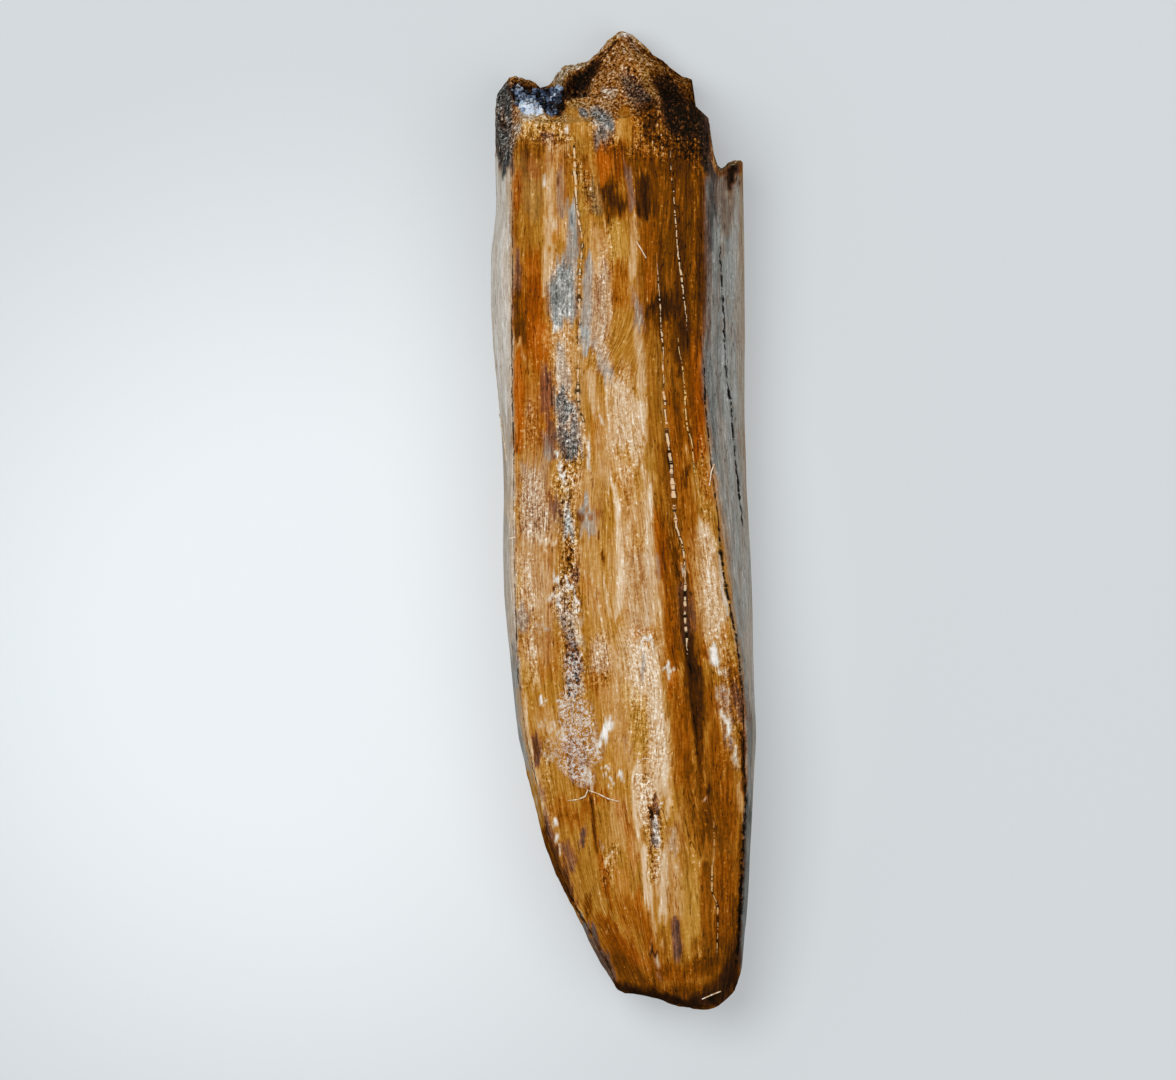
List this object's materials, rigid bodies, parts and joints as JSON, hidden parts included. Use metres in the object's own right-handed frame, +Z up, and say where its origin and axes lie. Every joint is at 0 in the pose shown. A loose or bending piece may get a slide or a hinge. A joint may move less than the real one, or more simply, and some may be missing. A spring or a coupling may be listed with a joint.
{
  "type": "fossil tyrannosaur tooth",
  "caption": "Long worn fossil tooth lying on its back, with a serrated ridge down its front face, a slanting broken base with a crystal-lined hollow, and a blunt worn tip.",
  "frame": {"origin": "on the surface the tooth lies on, under the middle of its box", "axes": "+Y along the length from the worn tip to the broken base, +Z up out of the serrated front face, +X to the right of that face"},
  "size_m": [0.0072, 0.0266, 0.0055],
  "materials": {
    "fossil_enamel": "satin, mineral-stained amber, brown and cream streaks over grey flanks",
    "crystal_crust": "small glassy crystals, pale blue-white on near black"
  },
  "bodies": {
    "root": {"tooth": "fossil_enamel", "pulp_hollow_crystals": "crystal_crust"}
  },
  "joints": []
}
